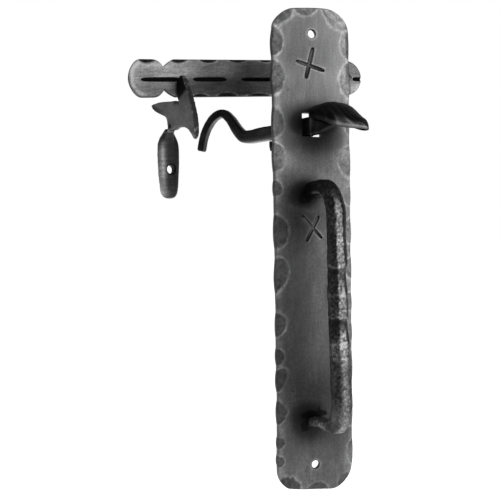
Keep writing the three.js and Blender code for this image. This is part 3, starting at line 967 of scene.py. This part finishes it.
def bar_half_height(x):
    """Half the bar's height at each place along it: a lobe, a waist, the bar and its round end."""
    lobe = bezier([(BAR_LEFT, 0), (BAR_LEFT, BAR_HALF / 2), (-146.2, BAR_HALF), (LOBE_FLAT, BAR_HALF)])
    into = bezier([(LOBE_TURN, BAR_HALF), (WAIST - 2.4, BAR_HALF), (WAIST, WAIST_HALF)])
    out = bezier([(WAIST, WAIST_HALF), (WAIST + 2.6, BAR_HALF - 1.8), (SHOULDER, BAR_HALF)])
    outline = np.vstack([lobe, into, out, [(BAR_RIGHT - BAR_HALF, BAR_HALF)]])
    height = np.interp(x, outline[:, 0], outline[:, 1])
    past = np.clip(x - (BAR_RIGHT - BAR_HALF), 0, BAR_HALF)
    return np.minimum(height, np.sqrt(BAR_HALF ** 2 - past ** 2))


def bar_blows(x, z):
    """How deep inside the nearest blow each place is, from below 0 outside to 1."""
    best = np.full(np.shape(x), -9)
    for first, last, reach, edge in BAR_BLOWS:
        inside = 1 - ((x - (first + last) / 2) / ((last - first) / 2)) ** 2
        inside -= ((z * edge - BAR_HALF - 0.4) / (reach + 0.4)) ** 2
        best = np.maximum(best, inside)
    return best


def latch_bar():
    left_zone = 10
    bend = np.linspace(0, math.pi / 2, 20)[:-1]
    x = np.concatenate([
        BAR_LEFT + left_zone * (1 - np.cos(bend)),
        np.arange(BAR_LEFT + left_zone, WAIST - 0.2, 0.55), [WAIST - 0.15, WAIST + 0.15],
        np.arange(WAIST + 0.6, BAR_RIGHT - BAR_HALF, 0.6),
        BAR_RIGHT - BAR_HALF * (1 - np.sin(bend)),
        [BAR_RIGHT - 0.01],
    ])
    half = bar_half_height(x)
    edge = np.array([0, 0.15, 0.4, 0.75, 1.15, 1.6, 2.1, 2.7, 3.3, 4])
    share = np.concatenate([edge, np.linspace(4.8, BAR_HALF, 12)]) / BAR_HALF
    share = np.concatenate([share - 1, (1 - share)[::-1][1:]])
    z = half[:, None] * share
    along = x[:, None] + 0 * z
    blow = bar_blows(along, z)
    to_end = np.minimum(along - BAR_LEFT, BAR_RIGHT - along)
    to_edge = np.minimum(half[:, None] - np.abs(z), to_end * 0.9)
    rounding = 0.75 * quarter_round(to_edge, 1.2)
    places = xyz(along, 0, z)
    rough = 0.1 * lumps(places, 2, 61) * ease(blow, 0, 0.3)
    wave = 0.08 * lumps(places, (16, 1, 9), 62) + 0.03 * lumps(places, (5, 1, 3), 63)
    pressed = 0.85 * ease(blow, -0.3, 0.6)
    front = -BAR_DEEP + np.maximum(rounding, pressed) + rough + wave
    back_share = np.array([1, 0.95, 0.7, 0.35, 0, -0.35, -0.7, -0.95, -1])
    back = BAR_DEEP - np.where(np.abs(back_share) == 1, 0.5, 0)
    back_points = xyz(x[:, None], back, half[:, None] * back_share)
    rings = np.concatenate([xyz(along, front, z), back_points], axis=1)
    bar = loft("latch_bar_forged", in_bar(rings), angle=48)
    tools = []
    for ends in DASHES:
        start, end = in_bar([(x, 0, DASH_Z) for x in ends])[:, ::2]
        tools.append(chisel(start, end, 2.9, 1.5, PIVOT[1] - BAR_DEEP))
    tools.append(round_tool(PIVOT[0], PIVOT[2], [(PIVOT[1] - 4, 4.2), (PIVOT[1] + 4, 4.2)]))
    cut(bar, *tools, angle=42)
    paint(bar, bar_tone(points_of(bar)))
    return bar


def bar_tone(points):
    x, y, z = tilt(points - PIVOT, -BAR_SLOPE).T
    flat = xyz(x, 0, z)
    blow = bar_blows(x, z)
    stations = [-150, -141, -134, -127, -120, -106, -91, -77, -70, -63, -56, -40, 0, 14]
    above = np.interp(x, stations,
                      [0.92, 0.8, 0.8, 0.82, 0.76, 0.63, 0.56, 0.55, 0.62, 0.72, 0.78, 0.78, 0.6, 0.66])
    below = np.interp(x, stations,
                      [0.74, 0.68, 0.6, 0.62, 0.48, 0.36, 0.33, 0.36, 0.52, 0.76, 0.86, 0.84, 0.6, 0.66])
    tone = below + (above - below) * ease(z, -4, 3)
    tone *= 1 + 0.09 * lumps(flat, (14, 1, 4), 64) + 0.09 * lumps(flat, (7, 1, 0.9), 65)
    tone *= 1 + 0.05 * lumps(flat, 1.1, 67)
    rim = bump(blow + 0.42, 0.2) * unit(0.8 + 0.5 * lumps(flat, 3, 68))
    tone = tone * (1 - 0.4 * ease(blow, -0.2, 0.3)) + 0.28 * rim
    tone += 0.1 * ease(np.abs(z), BAR_HALF - 1.6, BAR_HALF - 0.5) * (blow < -0.2) * (x > -124)
    for first, last in DASHES:
        away, _ = distance_to(x, z, (first, DASH_Z), (last, DASH_Z))
        tone = np.where((away < 2) & (y > -BAR_DEEP + 0.2) & (y < 0), 0.03, tone)
    tone += 0.24 * bump(np.hypot((x + 140.2) / 0.8, z) - 10.6, 1.3) * ease(-x, 138, 143)
    tone *= 1 + 0.3 * (x > 5) * ease(-z, 1, 5)
    tone *= 1 - 0.45 * (x < -138) * (y > -1.85)
    side = (y > -BAR_DEEP + 0.7) & (y < BAR_DEEP - 0.3)
    tone *= np.where(side, 0.45, 1)
    tone = np.where(y > 1.9, 0.42 + 0.1 * lumps(flat, 8, 66), tone)
    return np.clip(tone, 0.02, 1)


# ---- pivot screw and spacer

def pivot_screw():
    """A square head with a low hammered pyramid, and a coach screw's thread behind the bar."""
    centre = PIVOT * (1, 0, 1)
    side = 9 / 2
    front, end = (side[1] for side in box_mm("pivot_screw"))
    back = PIVOT[1] - BAR_DEEP - 0.25
    levels = [(back, side - 0.25), (back - 0.3, side), (back - 1.3, side), (back - 1.7, side - 0.35),
              (front + 0.9, 0.95), (front + 0.35, 0.6), (front + 0.2, 0.2)]
    around = circle(48)
    rings = []
    for y, half in levels:
        radius = facets(around, [(90 * k, half) for k in range(4)], 16)
        cornerwise = around + math.pi / 4
        rings.append(centre + xyz(radius * np.cos(cornerwise), y, radius * np.sin(cornerwise)))
    head = loft("pivot_screw_forged", rings, angle=30)
    hammer(head, 0.15, 2.5, 71)
    thread_start = box_mm("pivot_spacer")[1][1] + 3
    pitch = 3.2
    sections = []
    for here in np.arange(back - 0.2, end, 0.3):
        taper = np.clip((end - here) / 8, 0.06, 1) ** 0.8
        phase = (here / pitch - around / (2 * math.pi)) % 1
        ridge = unit(1 - np.abs(phase - 0.5) / 0.28)
        threaded = ease(here, thread_start, thread_start + 3)
        radius = (3.98 - threaded * (1 - ridge)) * taper
        sections.append(centre + xyz(radius * np.cos(around), here, radius * np.sin(around)))
    join(head, loft("thread", sections, angle=40))
    points = points_of(head)
    tone = 0.56 + 0.14 * lumps(points, 2.5, 72) + 0.3 * (points[:, 1] < front + 1)
    paint(head, tone)
    return head


def pivot_spacer():
    low, high = box_mm("pivot_spacer")
    outer = (high[0] - low[0]) / 2
    bore = 4.3
    profile = [
        (low[1] + 0.05, bore + 0.3), (low[1], bore + 0.7), (low[1], outer - 0.7),
        (low[1] + 0.3, outer - 0.15), (low[1] + 0.8, outer), (high[1] - 0.8, outer),
        (high[1] - 0.3, outer - 0.15), (high[1], outer - 0.7), (high[1], bore + 0.7),
        (high[1] - 0.2, bore + 0.1), (low[1] + 0.3, bore),
    ]
    ring = lathe("pivot_spacer_forged", profile, PIVOT, sides=64, wobble=0.08, closed=True)
    paint(ring, 0.4 + 0.08 * lumps(points_of(ring), 3, 75))
    return ring


# ---- keeper

def outline_of(*stretches):
    """One closed outline from Bezier stretches, each starting where the last one ended."""
    outline = []
    start = stretches[-1][-1]
    for stretch in stretches:
        outline.extend(bezier([start, *stretch], 12 if len(stretch) > 1 else 8)[:-1].tolist())
        start = stretch[-1]
    return np.array(outline)


def fuse(name, *parts):
    """Grows the parts into one forged skin."""
    whole = join(*parts)
    whole.name = name
    remesh = whole.modifiers.new("fuse", "REMESH")
    remesh.mode = "VOXEL"
    remesh.voxel_size = 0.42 * MM
    smooth = whole.modifiers.new("smooth", "SMOOTH")
    smooth.factor = 0.5
    smooth.iterations = 7
    apply_modifiers(whole)
    soften(whole, 55)
    return whole


def keeper_blade():
    outline = outline_of(
        [(28, 101.4), (17, 100.6)], [(-2.7, 98.4)], [(-8.2, 95)], [(-3, 104), (-5.4, 111.2)],
        [(-8, 116), (-11.8, 112)], [(-25.5, 91), (-26, 79)], [(-26.5, 71), (-24.5, 71)],
        [(-23, 71.5), (-22.5, 74)], [(-17, 81), (-3, 81)], [(0.7, 80)], [(8.5, 80)],
        [(8.2, 87), (10.5, 89.5)], [(22, 94)], [(30.5, 97.5), (30.5, 100.4)],
    )
    return loft("blade", in_keeper([xyz(x, outline[:, 0], outline[:, 1]) for x in (-2, 2)]))


def keeper_neck():
    path = smooth_path([(0, 4.6, 87), (0, 4.8, 82.5), (0.3, 8, 79.5), (1.4, 13, 74.5)], 26)
    angles = circle(28)
    rings = []
    for place, share in zip(path, np.linspace(0, 1, len(path))):
        slim = 3.4 - 1.2 * math.sin(math.pi * min(share * 1.15, 1))
        radius = facets(angles, [(0, 1.9), (90, slim), (180, 1.9), (270, slim)], 10)
        twisted = angles + share * math.pi / 2
        lean = ease(share, 0, 1) * 0.6
        y = radius * np.sin(twisted)
        rings.append(place + xyz(radius * np.cos(twisted), y * math.cos(lean), y * math.sin(lean)))
    return loft("neck", in_keeper(rings))


LEAF_X, LEAF_FRONT, LEAF_TOP, LEAF_BOTTOM = 1.9, 11, 82.5, 35.4


def keeper_leaf():
    z = LEAF_BOTTOM + (LEAF_TOP - LEAF_BOTTOM) * (1 - np.cos(np.linspace(0.02, math.pi - 0.02, 70))) / 2
    half = np.interp(z, [35.4, 35.9, 37.4, 40.5, 46, 54, 62, 68, 72, 75.5, 78.5, 81, 82.5],
                     [1.2, 3.2, 5, 6.3, 7, 7.6, 7.9, 7.9, 7.6, 6.4, 4.6, 2.9, 1.8])
    half = np.convolve(np.pad(half, 2, mode="edge"), np.ones(5) / 5, mode="valid")
    angles = circle(56)
    thickness = 4.4 * np.clip(half / 4, 0.25, 1)
    rings = []
    for height, wide, thick in zip(z, half, thickness):
        crown = 0.7 * np.sign(np.sin(angles)) - unit(-np.sin(angles)) ** 0.8 * (thick - 1.4)
        x = LEAF_X + wide * np.sign(np.cos(angles)) * np.abs(np.cos(angles)) ** 0.8
        rings.append(xyz(x, LEAF_FRONT + 3.8 + crown, height))
    return loft("leaf", in_keeper(rings))


def worn(points):
    """Narrows the blade where it ends in front: the tip below and the horn above."""
    local = turn(points - KEEPER_ORIGIN, -KEEPER_YAW)
    tip = (1 - ease(local[:, 2], 70.5, 75.5)) * (local[:, 1] < -15)
    local[:, 0] *= 1 - 0.55 * tip - 0.35 * ease(local[:, 2], 108, 114)
    return in_keeper(local)


def keeper():
    whole = fuse("keeper_forged", keeper_blade(), keeper_neck(), keeper_leaf())
    drill = round_tool(LEAF_X, 55, [(LEAF_FRONT - 8, 3.6), (LEAF_FRONT + 0.7, 2.9), (LEAF_FRONT + 12, 3.4)])
    set_points(drill, in_keeper(points_of(drill)))
    cut(whole, drill, angle=50)
    hammer(whole, 0.16, 5, 81)
    hammer(whole, 0.05, 1.5, 82)
    set_points(whole, worn(points_of(whole)))
    paint(whole, keeper_tone(points_of(whole), read_mesh(whole, "normal")))
    return whole


def keeper_tone(points, normals):
    x, y, z = turn(points - KEEPER_ORIGIN, -KEEPER_YAW).T
    facing = turn(normals, -KEEPER_YAW)
    tone = 0.63 + 0.08 * lumps(points, 7, 83) + 0.05 * lumps(points, 2.2, 84)
    # The leaf's half-round face gets a painted highlight down its left side
    leaf_tone = 0.31 + 0.52 * bump(x - LEAF_X + 6.3, 2.6) * ease(-z, -78, -66) + 0.1 * ease(-z, -46, -38)
    leaf_tone *= 1 + 0.16 * lumps(points, (9, 9, 1.1), 85)
    tone = np.where((z < 79) & (y > 4), leaf_tone, tone)
    tone *= 1 - 0.8 * bump(z - 81 + 0.5 * (x - 1), 1.4) * (y > 3)
    horn = ease(z + 0.5 * (y + 4), 95.5, 98.5) * (1 - ease(y, -3.5, -0.5))
    tone *= 1 - 0.97 * horn * (facing[:, 0] < -0.5)
    fleck = ease(lumps(points, 1.3, 86), 0.1, 0.7)
    tone = np.where((facing[:, 1] < -0.45) & (y < -8), 0.34 + 0.34 * fleck, tone)
    tone *= 1 - 0.45 * ease(y, 14, 22) * (1 - ease(z - 0.45 * (y - 14), 92.5, 95.5))
    # Painted shade under the back of the blade, on faces that look down
    tone *= 1 - 0.5 * (facing[:, 2] < -0.5) * (y > 12) * (z > 80)
    tone = np.where(np.hypot(x - 2.3, z - 55) < 3.9, 0.06, tone)
    return np.clip(tone, 0.02, 1)


# ---- the whole latch

add_camera()
add_light()
add_floor()

FINISHES = {
    "plate_iron": dict(streak_size=(1, 1, 0.1), mottle=0.06, streak=0.1, grain=0.22, bump=0.25),
    "grip_iron": dict(mottle=0.12, streak=0.1, grain=0.25, bump=0.7, pits=1.4, pit_tone=0.48),
    "lever_iron": dict(mottle=0.12, streak=0.12, grain=0.25, bump=0.4, rough=(0.5, 0.38)),
    "bar_iron": dict(streak_size=(0.16, 1, 1), mottle=0.07, streak=0.14, grain=0.28, bump=0.3),
    "keeper_iron": dict(mottle=0.1, streak=0.12, grain=0.25, bump=0.3, rough=(0.55, 0.4)),
    "screw_iron": dict(mottle=0.14, streak=0.1, grain=0.2, bump=0.35),
}
MATERIALS = {name: iron(name, **finish) for name, finish in FINISHES.items()}
# Each piece's function has the name of the node that it stands for
PIECES = [
    (backplate, "root", "plate_iron"), (pull_handle, "root", "grip_iron"),
    (pivot_screw, "root", "screw_iron"), (pivot_spacer, "root", "screw_iron"),
    (keeper, "root", "keeper_iron"), (lever_shank, "lever", "lever_iron"),
    (thumb_pad, "lever", "lever_iron"), (stop_peg, "lever", "lever_iron"), (latch_bar, "bar", "bar_iron"),
]
for make, body, slot in PIECES:
    node = make.__name__
    piece = make()
    piece.data.materials.append(MATERIALS[slot])
    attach(piece, body)
    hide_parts(node)
